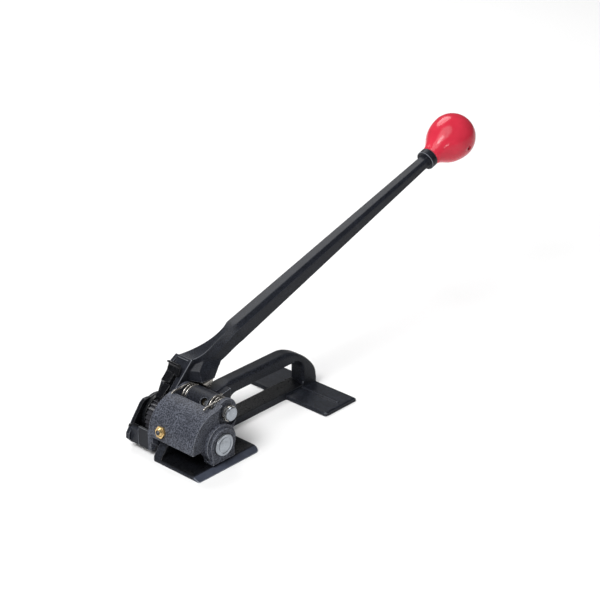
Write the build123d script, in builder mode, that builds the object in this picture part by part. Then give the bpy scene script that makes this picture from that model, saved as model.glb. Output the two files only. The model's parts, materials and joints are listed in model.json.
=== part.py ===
from build123d import *
import os
from math import cos, pi, radians, sin, sqrt

# Feedwheel tensioner for steel strap, in millimetres.
# +X runs along the strap towards the grip and the rear foot, +Y towards the ratchet and
# lever side, +Z up.  The origin is on the base's underside, below the main shaft's axis,
# at the middle of the feedwheel's width.

# ---------------------------------------------------------------- driving dimensions
shaft_z = 26.0            # height of the main shaft's axis
shaft_r = 12.7            # one inch main shaft
pin_x = 16.4              # hinge pin, behind and above the main shaft
pin_z = 54.4
pin_r = 7.95              # five-eighths inch hinge pin
pin_bush_wall = 2.5
run_gap = 0.04            # radial clearance of running fits
side_gap = 0.6            # side clearance between moving faces

base_front = -43.5
base_rear = 49.5
base_right = -40.5        # thin edge, on the side where the strap slides in
base_left = 30.5
base_t = 4.3
base_corner_r = 4.0
thin_edge = 1.0
bevel_inner = -31.0

guide_y = 18.4            # face of the strap guide wall
guide_top = 19.0
rail_left = 38.0
rail_top = 12.0
leg_front = 34.0
leg_top = 54.3
rail_near_top = 8.5       # the rail's top slopes down to its near side
grip_top = 56.6
grip_flat_end = 150.0     # where the grip's top starts to curve down to the toe
grip_rear = 205.5
slot_front = 60.0
slot_rear = 180.5
slot_top = 41.0
slot_front_r = 14.0
slot_rear_r = 14.0
foot_front = 152.0
foot_rear = 203.0
foot_right = -42.0
foot_left = 80.0
foot_t = 5.0
foot_bevel = 1.4
rib_x = 180.0             # low rib across the foot
rib_t = 3.2

plug_l = 18.0             # gripper plug, let into the base below the feedwheel
plug_w = 30.0
plug_seat = base_t - 2.3  # bottom of the plug's pocket
plug_play = 0.1
plug_screw_pitch = 18.0
plug_screw_r = 1.6

knuckle_r = 14.0
knuckle_near = -5.5
knuckle_far = 25.8
shoulder_near = 12.0      # near side of the arm's shoulder on the grip's front leg
oil_angle = 144.0         # the oil hole faces up and forwards
oil_y = 0.2
oil_r = 4.7

hood_r = 38.0             # drum-shaped hood, concentric with the main shaft
hood_wall = 6.5
hood_near = -26.5
hood_far = 41.5
near_wall_t = 6.5
far_wall_t = 5.5
bush_r = 15.5             # outside of the main shaft's bushes
bush_recess = 2.5         # the near bush sits this deep in its boss
lip_z = 23.7              # front lower lip of the hood
hood_top_x = -2.5         # rear edge of the hood's top
ear_near = -34.0
ear_bottom = 6.5
ear_half = 16.0
near_lug_face = -22.6
boss_r = 18.0
boss_step_r = 21.5
boss_step = 4.5
lug_r = 15.0
far_lug_r = 13.0
near_lug_t = 8.9
ear_screw_y = -25.6       # set screw of the near bush, in the ear's front face
ear_screw_z = 11.5
ear_screw_r = 2.6

front_face = -38.5        # front block that holds the holding pawl
block_top = 29.5
block_near = 57.0         # joint between the housing and the side plate's foot
hold_x = -30.2            # holding pawl's pivot
hold_z = 12.4
hold_pin_r = 2.5
screw_spots = [(-35.2, 23.5), (-22.6, 8.9)]
screw_r = 1.75
pocket = [(-34.9, 3), (-34.9, 17), (-29.5, 31), (-20, 31), (-20, 16), (-23.9, 15), (-25.3, 11.5), (-25.3, 3)]

nipple_hex_t = 2.8
nipple_h = 5.4            # from the drum to the nipple's tip
nipple_ball_r = 2.9
nipple_stem_r = 2.5

wheel_r = 18.2            # feedwheel over its teeth
wheel_half = 17.0
plug_top = shaft_z - wheel_r - 0.3
wheel_teeth = 44
key_w = 4.0
key_h = 5.0
key_l = 28.0
gear_key_h = 4.0

cheek_near = hood_far + 0.7
cheek_t = 7.0
gear_r = 24.0             # ratchet wheel over its teeth
gear_teeth = 28
tooth_depth = 2.3
gear_near = cheek_near + cheek_t + 0.6
gear_t = 12.0
outer_near = gear_near + gear_t + side_gap
outer_t = 4.6
plate_near = outer_near + outer_t + side_gap
plate_t = 5.0
plate_far = plate_near + plate_t

lever_tilt = 18.54        # lever's angle above the base
knob_x = 454.5
knob_z = 231.6
lever_y = 29.5
knob_r = 28.2

os.makedirs("parts", exist_ok=True)


# ---------------------------------------------------------------- helpers
def side(y):
    """Sketch plane facing -Y at y: sketch x is X, sketch y is Z, extrusions run to -Y."""
    return Plane(origin=(0, y, 0), x_dir=(1, 0, 0), z_dir=(0, -1, 0))


def along_lever(distance, rise=0.0, y=lever_y):
    """Point on the lever's centreline, at a distance back from the knob's centre."""
    tilt = radians(lever_tilt)
    x = knob_x - distance * cos(tilt) - rise * sin(tilt)
    z = knob_z - distance * sin(tilt) + rise * cos(tilt)
    return (x, y, z)


def lever_plane(distance):
    """Plane across the lever, facing the knob: sketch x is Y, sketch y is upwards."""
    tilt = radians(lever_tilt)
    return Plane(origin=along_lever(distance), x_dir=(0, 1, 0), z_dir=(cos(tilt), 0, sin(tilt)))


def cut_corner_box(width, height, corner):
    """Points of a rectangle with its four corners cut off."""
    w, h, c = width / 2, height / 2, corner
    return [(-w, -h + c), (-w + c, -h), (w - c, -h), (w, -h + c),
            (w, h - c), (w - c, h), (-w + c, h), (-w, h - c)]


def ratchet_points(outer, depth, count):
    """Saw-tooth outline whose steep faces look towards -X at the top of the wheel."""
    points = []
    step = 2 * pi / count
    for index in range(count):
        angle = index * step
        for radius, turn in ((outer - depth, 0.98), (outer, 0.14), (outer, 0.0)):
            a = angle - turn * step
            points.append((radius * cos(a), radius * sin(a) + shaft_z))
    return points


def save(part, name):
    part.label = name
    export_step(part, f"parts/{name}.step")


# ---------------------------------------------------------------- frame
with BuildPart() as frame_casting:
    # rear foot with a bevelled top edge
    with BuildSketch(Plane.XY) as foot_outline:
        with Locations(((foot_front + foot_rear) / 2, (foot_left + foot_right) / 2)):
            Rectangle(foot_rear - foot_front, foot_left - foot_right)
        near_corners = foot_outline.vertices().group_by(Axis.Y)[0].sort_by(Axis.X)
        far_corners = foot_outline.vertices().group_by(Axis.Y)[-1].sort_by(Axis.X)
        fillet(near_corners[0], 3)
        fillet(near_corners[-1], 8)
        fillet(far_corners[0], 20)
        fillet(far_corners[-1], 4)
    extrude(amount=foot_t)
    chamfer(frame_casting.faces().sort_by(Axis.Z)[-1].edges(), foot_bevel)
    # base plate with its thin, bevelled right edge
    with BuildSketch(Plane.YZ.offset(base_front)):
        with BuildLine():
            Polyline((base_right, 0), (base_left, 0), (base_left, base_t), (bevel_inner, base_t),
                     (base_right, thin_edge), close=True)
        make_face()
    extrude(amount=base_rear - base_front)
    base_edges = frame_casting.edges().filter_by_position(Axis.X, base_front - 1, base_rear + 1)
    right_corners = base_edges.filter_by(Axis.Z).group_by(Axis.Y)[0].sort_by(Axis.X)
    fillet(right_corners[-1], 8)
    fillet(right_corners[0], 2)
    front_lip = frame_casting.edges().filter_by(Axis.Y).filter_by_position(Axis.Z, base_t - 0.1, base_t + 0.1)
    chamfer(front_lip.sort_by(Axis.X)[0], 1.3)
    # strap guide wall, sloping up at the front and passing below the main shaft
    with BuildSketch(side(base_left)):
        with BuildLine():
            Polyline((base_front + 1.5, 0), (base_front + 1.5, base_t), (-30, guide_top),
                     (-22, guide_top), (leg_front + 2, guide_top), (leg_front + 2, 0), close=True)
        make_face()
        with Locations((0, shaft_z)):
            Circle(18.6, mode=Mode.SUBTRACT)
        with Locations((26, 26)):
            Rectangle(52, 28, mode=Mode.SUBTRACT)
    extrude(amount=base_left - guide_y)
    # rounded front corner, taken off the plate and the wall together
    with BuildSketch(Plane.XY):
        with Locations((base_front, base_left)):
            Rectangle(2 * base_corner_r, 2 * base_corner_r)
        with Locations((base_front + base_corner_r, base_left - base_corner_r)):
            Circle(base_corner_r, mode=Mode.SUBTRACT)
    extrude(amount=guide_top + 1, mode=Mode.SUBTRACT)
    # rail and grip loop in one outline, with the toe behind it
    with BuildSketch(side(rail_left)):
        with BuildLine():
            Polyline((leg_front, 0), (leg_front, leg_top - 6), (leg_front + 5, leg_top),
                     (slot_front - 6, leg_top + 0.3), (slot_front + 6, grip_top), (grip_flat_end, grip_top))
            Spline((grip_flat_end, grip_top), (169.5, 51.8), (186.5, 41), (199.5, 27.5), (grip_rear, 9),
                   tangents=[(1, 0), (0.1, -1)])
            Polyline((grip_rear, 9), (grip_rear, 4), (foot_rear - 3, 1), (foot_rear - 3, 0), (leg_front, 0))
        make_face()
        with BuildLine():
            Line((slot_front, rail_top), (slot_rear, rail_top))
            Line((slot_rear, rail_top), (slot_rear, slot_top - slot_rear_r))
            RadiusArc((slot_rear, slot_top - slot_rear_r), (slot_rear - slot_rear_r, slot_top), -slot_rear_r)
            Line((slot_rear - slot_rear_r, slot_top), (slot_front + slot_front_r, slot_top))
            RadiusArc((slot_front + slot_front_r, slot_top), (slot_front, slot_top - slot_front_r),
                      -slot_front_r)
            Line((slot_front, slot_top - slot_front_r), (slot_front, rail_top))
        make_face(mode=Mode.SUBTRACT)
    extrude(amount=rail_left - guide_y)
    top_edges = frame_casting.edges().filter_by(Axis.X).filter_by_position(
        Axis.Z, grip_top - 0.1, grip_top + 0.1)
    fillet(top_edges + frame_casting.edges().filter_by(GeomType.BSPLINE), 5)
    slot_edges = frame_casting.edges().filter_by(Axis.X).filter_by_position(
        Axis.Z, slot_top - 0.1, slot_top + 0.1)
    slot_arcs = frame_casting.edges().filter_by(GeomType.CIRCLE).filter_by(
        lambda edge: edge.center().Z > rail_top and edge.radius > slot_rear_r - 0.1)
    fillet(slot_edges + slot_arcs, 2.5)
    # the rail's top falls away towards the near side
    with BuildSketch(Plane.YZ.offset(slot_front)):
        Polygon((guide_y - 0.1, rail_near_top), (rail_left, rail_top), (guide_y - 0.1, rail_top + 0.1),
                align=None)
    extrude(amount=slot_rear - slot_front, mode=Mode.SUBTRACT)
    # rib across the foot
    with BuildSketch(Plane.XY.offset(foot_t - 0.5)):
        with Locations((rib_x, (guide_y + foot_right) / 2 + 3)):
            Rectangle(rib_t, guide_y - foot_right - 8)
    extrude(amount=1.7)
    # knuckle for the hinge pin and the arm that joins it to the grip's front leg
    with BuildSketch(side(knuckle_far)):
        with Locations((pin_x, pin_z)):
            Circle(knuckle_r)
        Polygon((pin_x, pin_z + knuckle_r - 0.05), (29, 60.5), (leg_front + 6, leg_top),
                (leg_front + 6, 34), (29, 36), (pin_x, pin_z - knuckle_r + 0.05), align=None)
    extrude(amount=knuckle_far - knuckle_near)
    with BuildSketch(side(knuckle_far)):
        Polygon((leg_front - 0.5, 50), (leg_front + 24, leg_top), (leg_front + 24, 36),
                (leg_front - 0.5, 30), align=None)
    extrude(amount=knuckle_far - shoulder_near)
    # bore for the hinge bush and the oil hole that opens on the knuckle's front
    with BuildSketch(side(knuckle_far + 1)):
        with Locations((pin_x, pin_z)):
            Circle(pin_r + pin_bush_wall)
    extrude(amount=knuckle_far - knuckle_near + 2, mode=Mode.SUBTRACT)
    oil_dir = (cos(radians(oil_angle)), 0, sin(radians(oil_angle)))
    oil_plane = Plane(origin=(pin_x, oil_y, pin_z), x_dir=(0, 1, 0), z_dir=oil_dir)
    with BuildSketch(oil_plane.offset(pin_r + 1)):
        Circle(oil_r)
    extrude(amount=8, mode=Mode.SUBTRACT)
    # pocket for the gripper plug and its screws' holes, from below
    with BuildSketch(Plane.XY.offset(base_t)):
        Rectangle(plug_l, plug_w)
    extrude(amount=plug_seat - base_t, mode=Mode.SUBTRACT)
    with BuildSketch(Plane.XY):
        with GridLocations(0, plug_screw_pitch, 1, 2):
            Circle(plug_screw_r + 0.5)
    extrude(amount=base_t, mode=Mode.SUBTRACT)
    with BuildSketch(Plane.XY):
        with GridLocations(0, plug_screw_pitch, 1, 2):
            Circle(plug_screw_r + 2)
    extrude(amount=1.0, mode=Mode.SUBTRACT)
save(frame_casting.part, "frame_casting")

with BuildPart() as gripper_plug:
    with BuildSketch(Plane.XY.offset(plug_seat)):
        Rectangle(plug_l - plug_play, plug_w - plug_play)
    extrude(amount=plug_top - plug_seat)
    # serrations across the strap
    for index in range(8):
        with BuildSketch(side(plug_w / 2)):
            Polygon((-8 + 2 * index, plug_top), (-7 + 2 * index, plug_top - 0.6),
                    (-6 + 2 * index, plug_top), align=None)
        extrude(amount=plug_w, mode=Mode.SUBTRACT)
    with BuildSketch(Plane.XY.offset(plug_seat)):
        with GridLocations(0, plug_screw_pitch, 1, 2):
            Circle(plug_screw_r)
    extrude(amount=2.6, mode=Mode.SUBTRACT)
save(gripper_plug.part, "gripper_plug")

with BuildPart() as plug_screws:
    with BuildSketch(Plane.XY.offset(0.1)):
        with GridLocations(0, plug_screw_pitch, 1, 2):
            Circle(plug_screw_r + 1.8)
    extrude(amount=0.85)
    with BuildSketch(Plane.XY.offset(0.9)):
        with GridLocations(0, plug_screw_pitch, 1, 2):
            Circle(plug_screw_r)
    extrude(amount=3.5)
    with BuildSketch(Plane.XY.offset(0.1)):
        with GridLocations(0, plug_screw_pitch, 1, 2):
            Rectangle(5, 0.9)
    extrude(amount=0.5, mode=Mode.SUBTRACT)
save(plug_screws.part, "plug_screws")

with BuildPart() as hinge_bush:
    with BuildSketch(side(knuckle_far)):
        with Locations((pin_x, pin_z)):
            Circle(pin_r + pin_bush_wall)
            Circle(pin_r + run_gap, mode=Mode.SUBTRACT)
    extrude(amount=knuckle_far - knuckle_near)
    with BuildSketch(oil_plane.offset(pin_r - 1)):
        Circle(oil_r - 1)
    extrude(amount=6, mode=Mode.SUBTRACT)
save(hinge_bush.part, "hinge_bush")

# ---------------------------------------------------------------- housing
near_inner = hood_near + near_wall_t
lip_x = -sqrt(hood_r ** 2 - (shaft_z - lip_z) ** 2)
top_z = shaft_z + sqrt(hood_r ** 2 - hood_top_x ** 2)

# everything in the drum's circle that the hood leaves open
lip_ray = (1.7 * lip_x, shaft_z + 1.7 * (lip_z - shaft_z))
top_ray = (1.7 * hood_top_x, shaft_z + 1.7 * (top_z - shaft_z))
hood_opening = [(0, shaft_z), lip_ray, (-70, -50), (70, -50), (70, 110), top_ray]

with BuildPart() as housing:
    # hood
    with BuildSketch(side(hood_far)):
        with Locations((0, shaft_z)):
            Circle(hood_r)
        Polygon(*hood_opening, align=None, mode=Mode.SUBTRACT)
        with Locations((0, shaft_z)):
            Circle(hood_r - hood_wall, mode=Mode.SUBTRACT)
    extrude(amount=hood_far - hood_near)
    # near wall, up to the near hinge lug and down to the bearing boss
    with BuildSketch(side(near_inner)):
        with Locations((0, shaft_z)):
            Circle(hood_r)
        Polygon(*hood_opening, align=None, mode=Mode.SUBTRACT)
        Polygon((hood_top_x - 0.5, top_z - 0.05), (pin_x - 4, pin_z + 14.4), (pin_x + 12, pin_z - 9),
                (18, shaft_z), (-12, 10), (-ear_half, lip_z), (lip_x, lip_z), align=None)
        with Locations((pin_x, pin_z)):
            Circle(lug_r)
        with Locations((0, shaft_z)):
            Circle(boss_step_r)
        with Locations((0, (lip_z + ear_bottom) / 2)):
            Rectangle(2 * ear_half, lip_z - ear_bottom)
        with Locations((0, ear_bottom - 10)):
            Rectangle(80, 20, mode=Mode.SUBTRACT)
    extrude(amount=near_wall_t)
    # stepped boss and square ear on the near side
    with BuildSketch(side(hood_near)):
        with Locations((0, shaft_z)):
            Circle(boss_step_r)
        with Locations((0, (shaft_z + ear_bottom) / 2)):
            Rectangle(2 * ear_half, shaft_z - ear_bottom)
        with Locations((0, ear_bottom - 10)):
            Rectangle(80, 20, mode=Mode.SUBTRACT)
    extrude(amount=boss_step)
    with BuildSketch(side(hood_near - boss_step)):
        with Locations((0, shaft_z)):
            Circle(boss_r)
        with Locations((0, (shaft_z + ear_bottom) / 2)):
            Rectangle(2 * ear_half, shaft_z - ear_bottom)
    extrude(amount=hood_near - boss_step - ear_near)
    # near lug is thicker than the wall
    with BuildSketch(side(hood_near + near_lug_t)):
        with Locations((pin_x, pin_z)):
            Circle(lug_r)
    extrude(amount=near_lug_t)
    # round the hinge pin the near face steps back, so the pin's end stands out of it
    with BuildSketch(side(near_lug_face)):
        with Locations((pin_x, pin_z)):
            Circle(lug_r + 0.6)
    extrude(amount=near_lug_face - hood_near + 1, mode=Mode.SUBTRACT)
    # far wall with the far hinge lug
    with BuildSketch(side(hood_far)):
        with Locations((0, shaft_z)):
            Circle(hood_r)
        Polygon(*hood_opening, align=None, mode=Mode.SUBTRACT)
        Polygon((hood_top_x - 0.5, top_z - 0.05), (pin_x - 3, pin_z + 12.6), (pin_x + 12.6, pin_z - 3),
                (27, shaft_z), (24, 12), (18, ear_bottom), (-26, ear_bottom), (-37.5, 16),
                (lip_x, lip_z), align=None)
        with Locations((pin_x, pin_z)):
            Circle(far_lug_r)
    extrude(amount=far_wall_t)
    # front block beyond the far wall, hollowed round the ratchet and the lever's swing
    with BuildSketch(side(block_near)):
        Polygon((front_face, ear_bottom), (front_face, block_top), (front_face + 3, block_top),
                (-20, 16), (-16, ear_bottom), align=None)
        with Locations((0, shaft_z)):
            Circle(gear_r + 1.2, mode=Mode.SUBTRACT)
    extrude(amount=block_near - hood_far + 4)
    with BuildSketch(side(block_near + 1)):
        Polygon(*pocket, align=None)
    extrude(amount=block_near + 1 - (gear_near - 0.4), mode=Mode.SUBTRACT)
    # relief along the joint with the side plate's foot
    with BuildSketch(side(block_near)):
        Polygon((front_face - 1, 0), (front_face - 1, block_top + 1), (front_face + 0.8, block_top + 1),
                (front_face + 0.8, 0), align=None)
        Polygon((front_face - 1, block_top - 0.8), (front_face - 1, block_top + 1), (-34, block_top + 1),
                (-34, block_top - 0.8), align=None)
    extrude(amount=0.8, mode=Mode.SUBTRACT)
    # bores
    with BuildSketch(side(near_inner + 5)):
        with Locations((0, shaft_z)):
            Circle(bush_r)
    extrude(amount=near_inner + 5 - ear_near - bush_recess, mode=Mode.SUBTRACT)
    with BuildSketch(side(near_inner)):
        with Locations((0, shaft_z)):
            Circle(shaft_r + 0.5)
    extrude(amount=near_inner - ear_near + 1, mode=Mode.SUBTRACT)
    with BuildSketch(side(hood_far + 1)):
        with Locations((0, shaft_z)):
            Circle(bush_r)
    extrude(amount=far_wall_t + 2, mode=Mode.SUBTRACT)
    with BuildSketch(side(hood_far + 1)):
        with Locations((pin_x, pin_z)):
            Circle(pin_r + 0.02)
    extrude(amount=hood_far - hood_near + 2, mode=Mode.SUBTRACT)
    # grease nipple hole, square to the drum's surface
    nipple_angle = radians(166.4)
    nipple_dir = (cos(nipple_angle), 0, sin(nipple_angle))
    nipple_plane = Plane(origin=(0, 21.8, shaft_z), x_dir=(0, 1, 0), z_dir=nipple_dir)
    with BuildSketch(nipple_plane.offset(hood_r - hood_wall - 1)):
        Circle(nipple_stem_r)
    extrude(amount=hood_wall + 4, mode=Mode.SUBTRACT)
    # set screw hole in the ear's front face
    with BuildSketch(Plane.YZ.offset(-ear_half)):
        with Locations((ear_screw_y, ear_screw_z)):
            Circle(ear_screw_r)
    extrude(amount=6, mode=Mode.SUBTRACT)
    # hole for the holding pawl's pin
    with BuildSketch(side(block_near + 1)):
        with Locations((hold_x, hold_z)):
            Circle(hold_pin_r)
    extrude(amount=block_near + 1 - 45, mode=Mode.SUBTRACT)
    # holes for the side plate's screws
    with BuildSketch(side(block_near + 1)):
        with Locations(*screw_spots):
            Circle(screw_r)
    extrude(amount=block_near + 1 - 47, mode=Mode.SUBTRACT)
save(housing.part, "housing")

with BuildPart() as shaft_bush_near:
    with BuildSketch(side(near_inner)):
        with Locations((0, shaft_z)):
            Circle(bush_r)
            Circle(shaft_r + run_gap, mode=Mode.SUBTRACT)
    extrude(amount=near_inner - ear_near - bush_recess)
save(shaft_bush_near.part, "shaft_bush_near")

with BuildPart() as shaft_bush_far:
    with BuildSketch(side(hood_far)):
        with Locations((0, shaft_z)):
            Circle(bush_r)
            Circle(shaft_r + run_gap, mode=Mode.SUBTRACT)
    extrude(amount=far_wall_t)
save(shaft_bush_far.part, "shaft_bush_far")

with BuildPart() as ear_set_screw:
    with BuildSketch(Plane.YZ.offset(-ear_half + 1.5)):
        with Locations((ear_screw_y, ear_screw_z)):
            Circle(ear_screw_r)
    extrude(amount=4.4)
    with BuildSketch(Plane.YZ.offset(-ear_half + 1.5)):
        with Locations((ear_screw_y, ear_screw_z)):
            RegularPolygon(1.4, 6)
    extrude(amount=2.5, mode=Mode.SUBTRACT)
save(ear_set_screw.part, "ear_set_screw")

with BuildPart() as grease_nipple:
    with BuildSketch(nipple_plane.offset(hood_r - hood_wall + 0.5)):
        Circle(nipple_stem_r)
    extrude(amount=hood_wall + 1)
    with BuildSketch(nipple_plane.offset(hood_r + 0.02)):
        RegularPolygon(6.9, 6)
    extrude(amount=nipple_hex_t)
    with BuildSketch(nipple_plane.offset(hood_r + nipple_hex_t)):
        Circle(4.9)
    with BuildSketch(nipple_plane.offset(hood_r + nipple_h)):
        Circle(3.6)
    loft()
    with BuildSketch(nipple_plane.offset(hood_r + nipple_h)):
        Circle(nipple_ball_r + 0.02)
    extrude(amount=-4, mode=Mode.SUBTRACT)
    with BuildSketch(nipple_plane.offset(hood_r + nipple_h)):
        Circle(1.2)
    extrude(amount=-9, mode=Mode.SUBTRACT)
save(grease_nipple.part, "grease_nipple")

with BuildPart() as nipple_ball:
    with Locations(nipple_plane.offset(hood_r + nipple_h - 1).origin):
        Sphere(nipple_ball_r)
save(nipple_ball.part, "nipple_ball")

# ---------------------------------------------------------------- hinge pin and its springs
pin_near = -31.2
clip_t = 1.0
clip_spots = (-24.6, -27.2)

with BuildPart() as hinge_pin:
    with BuildSketch(side(hood_far - 0.2)):
        with Locations((pin_x, pin_z)):
            Circle(pin_r)
    extrude(amount=hood_far - 0.2 - pin_near)
    chamfer(hinge_pin.edges().filter_by(GeomType.CIRCLE), 0.8)
    # grooves for the retaining rings
    for clip_far in clip_spots:
        with BuildSketch(side(clip_far + 0.05)):
            with Locations((pin_x, pin_z)):
                Circle(pin_r + 1)
                Circle(pin_r - 0.9, mode=Mode.SUBTRACT)
        extrude(amount=clip_t + 0.1, mode=Mode.SUBTRACT)
save(hinge_pin.part, "hinge_pin")

with BuildPart() as hinge_pin_clips:
    for clip_far in clip_spots:
        with BuildSketch(side(clip_far)):
            with Locations((pin_x, pin_z)):
                Circle(pin_r + 0.8)
                Circle(pin_r - 0.88, mode=Mode.SUBTRACT)
            with Locations((pin_x + 7, pin_z - 7)):
                Rectangle(8, 8, rotation=45, mode=Mode.SUBTRACT)
        extrude(amount=clip_t)
save(hinge_pin_clips.part, "hinge_pin_clips")

coil_r = 12.8             # mean radius of the lift springs' coils
wire_r = 1.15
front_angle = 95.8        # where the front leg leaves the coil, resting on the hood
rear_angle = 80.0
coil_turns = 2 + (front_angle - rear_angle) / 360
near_legs = (26.0, 8.0)  # lengths of the front leg, resting on the hood, and of the rear leg
far_legs = (23.0, 5.0)
near_outer = -14.6
near_inner_coil = -7.4
far_outer = 34.7
far_inner_coil = 27.6


def coil_wire(x, z, radius, y_start, y_end, turns, angle):
    """Coil about an axis along Y, starting at y_start and at an angle above +X, rearward over the top."""
    height = abs(y_end - y_start)
    away = 1 if y_end > y_start else -1
    with BuildLine() as coil:
        Helix(height / turns, height, radius, center=(x, y_start, z), direction=(0, away, 0),
              lefthand=away < 0)
    turn = angle - 90 if away > 0 else angle + 90
    return coil.line.rotate(Axis((x, 0, z), (0, -1, 0)), turn)


near_wire = coil_wire(pin_x, pin_z, coil_r, near_outer, near_inner_coil, coil_turns, front_angle)
far_wire = coil_wire(pin_x, pin_z, coil_r, far_outer, far_inner_coil, coil_turns, front_angle)

with BuildPart() as torsion_spring_near:
    with BuildSketch(Plane(origin=near_wire @ 0, z_dir=near_wire % 0)):
        Circle(wire_r)
    sweep(path=near_wire)
    with BuildSketch(Plane(origin=near_wire @ 0, z_dir=-(near_wire % 0))):
        Circle(wire_r)
    extrude(amount=near_legs[0])
    with BuildSketch(Plane(origin=near_wire @ 1, z_dir=near_wire % 1)):
        Circle(wire_r)
    extrude(amount=near_legs[1])
save(torsion_spring_near.part, "torsion_spring_near")

with BuildPart() as torsion_spring_far:
    with BuildSketch(Plane(origin=far_wire @ 0, z_dir=far_wire % 0)):
        Circle(wire_r)
    sweep(path=far_wire)
    with BuildSketch(Plane(origin=far_wire @ 0, z_dir=-(far_wire % 0))):
        Circle(wire_r)
    extrude(amount=far_legs[0])
    with BuildSketch(Plane(origin=far_wire @ 1, z_dir=far_wire % 1)):
        Circle(wire_r)
    extrude(amount=far_legs[1])
save(torsion_spring_far.part, "torsion_spring_far")

# ---------------------------------------------------------------- side plate and holding pawl
plate_journal_r = 7.0
plate_bush_wall = 2.5

with BuildPart() as side_plate:
    # spacer foot, hollowed like the housing's front block
    with BuildSketch(side(plate_near)):
        Polygon((front_face, ear_bottom), (front_face, lip_z + 1), (-36, block_top), (-20, 16),
                (-16, ear_bottom), align=None)
        with Locations((0, shaft_z)):
            Circle(gear_r + 1.2, mode=Mode.SUBTRACT)
        Polygon(*pocket, align=None, mode=Mode.SUBTRACT)
    extrude(amount=plate_near - block_near)
    # plate
    with BuildSketch(side(plate_far)):
        Polygon((-36.4, 4.4), (-42.8, 11.5), (-42.2, 17.5), (-33.4, 30.2), (-20.8, 46.6), (-16.5, 49.2),
                (-10.5, 49.2), (-4, 47.2), (4, 46), (0, shaft_z), (-8, 4.4), align=None)
        with Locations((0, shaft_z)):
            Circle(gear_r)
        with Locations((0, -6)):
            Rectangle(100, 20, mode=Mode.SUBTRACT)
    extrude(amount=plate_t)
    with BuildSketch(side(plate_far + 1)):
        with Locations((0, shaft_z)):
            Circle(plate_journal_r + plate_bush_wall)
        with Locations((hold_x, hold_z)):
            Circle(hold_pin_r)
        with Locations(*screw_spots):
            Circle(screw_r + 0.1)
    extrude(amount=plate_far + 1 - block_near + 1, mode=Mode.SUBTRACT)
    with BuildSketch(side(plate_far + 1)):
        with Locations(*screw_spots):
            Circle(3.1)
    extrude(amount=3.2, mode=Mode.SUBTRACT)
save(side_plate.part, "side_plate")

with BuildPart() as side_plate_bush:
    with BuildSketch(side(plate_far)):
        with Locations((0, shaft_z)):
            Circle(plate_journal_r + plate_bush_wall)
            Circle(plate_journal_r + run_gap, mode=Mode.SUBTRACT)
    extrude(amount=plate_t)
save(side_plate_bush.part, "side_plate_bush")

with BuildPart() as side_plate_screws:
    with BuildSketch(side(plate_far + 0.2)):
        with Locations(*screw_spots):
            Circle(2.9)
    extrude(amount=2.3)
    with BuildSketch(side(plate_far - 2)):
        with Locations(*screw_spots):
            Circle(screw_r)
    extrude(amount=plate_far - 2 - 47.5)
    with BuildSketch(side(plate_far + 0.2)):
        with Locations(*screw_spots):
            RegularPolygon(1.6, 6)
    extrude(amount=1.5, mode=Mode.SUBTRACT)
save(side_plate_screws.part, "side_plate_screws")

with BuildPart() as holding_pawl_pin:
    with BuildSketch(side(plate_far - 0.5)):
        with Locations((hold_x, hold_z)):
            Circle(hold_pin_r)
    extrude(amount=plate_far - 0.5 - 45)
save(holding_pawl_pin.part, "holding_pawl_pin")

nose_angle = radians(196.5)
nose_r = gear_r + 0.35
nose_x = nose_r * cos(nose_angle)
nose_z = shaft_z + nose_r * sin(nose_angle)

with BuildPart() as holding_pawl:
    with BuildSketch(side(gear_near + gear_t - 3.2)):
        with Locations((hold_x, hold_z)):
            Circle(4)
        Polygon((hold_x - 3.2, hold_z + 2.4), (nose_x - 3.4, nose_z + 1.8), (nose_x, nose_z),
                (hold_x + 3.2, hold_z - 2.4), align=None)
        with Locations((0, shaft_z)):
            Circle(nose_r, mode=Mode.SUBTRACT)
        with Locations((hold_x, hold_z)):
            Circle(hold_pin_r + run_gap, mode=Mode.SUBTRACT)
    extrude(amount=gear_t - 3.6)
save(holding_pawl.part, "holding_pawl")

# ---------------------------------------------------------------- main shaft and what turns with it
gear_seat_r = 11.0
outer_journal_r = 9.0
shaft_near = -36.0
shaft_end = plate_far + 3.4

with BuildPart() as main_shaft:
    with BuildSketch(side(gear_near)):
        with Locations((0, shaft_z)):
            Circle(shaft_r)
    extrude(amount=gear_near - shaft_near)
    chamfer(main_shaft.edges().group_by(Axis.Y)[0], 0.8)
    with BuildSketch(side(gear_near + gear_t)):
        with Locations((0, shaft_z)):
            Circle(gear_seat_r)
    extrude(amount=gear_t)
    with BuildSketch(side(plate_near - 0.1)):
        with Locations((0, shaft_z)):
            Circle(outer_journal_r)
    extrude(amount=plate_near - 0.1 - gear_near - gear_t)
    with BuildSketch(side(shaft_end)):
        with Locations((0, shaft_z)):
            Circle(plate_journal_r)
    extrude(amount=shaft_end - plate_near + 0.1)
    chamfer(main_shaft.edges().group_by(Axis.Y)[-1], 0.7)
    # ring groove in the near face, left by the tool that turned it
    with BuildSketch(side(shaft_near + 0.5)):
        with Locations((0, shaft_z)):
            Circle(9.2)
            Circle(8.2, mode=Mode.SUBTRACT)
    extrude(amount=1, mode=Mode.SUBTRACT)
    # keyways of the feedwheel and the ratchet wheel, and the retaining ring's groove
    with BuildSketch(side(key_l / 2)):
        with Locations((0, shaft_z + shaft_r)):
            Rectangle(key_w, key_h)
    extrude(amount=key_l, mode=Mode.SUBTRACT)
    with BuildSketch(side(gear_near + gear_t)):
        with Locations((0, shaft_z + gear_seat_r)):
            Rectangle(key_w, gear_key_h)
    extrude(amount=gear_t, mode=Mode.SUBTRACT)
    with BuildSketch(side(shaft_end - 0.9)):
        with Locations((0, shaft_z)):
            Circle(plate_journal_r + 1)
            Circle(plate_journal_r - 0.8, mode=Mode.SUBTRACT)
    extrude(amount=1.1, mode=Mode.SUBTRACT)
save(main_shaft.part, "main_shaft")

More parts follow.
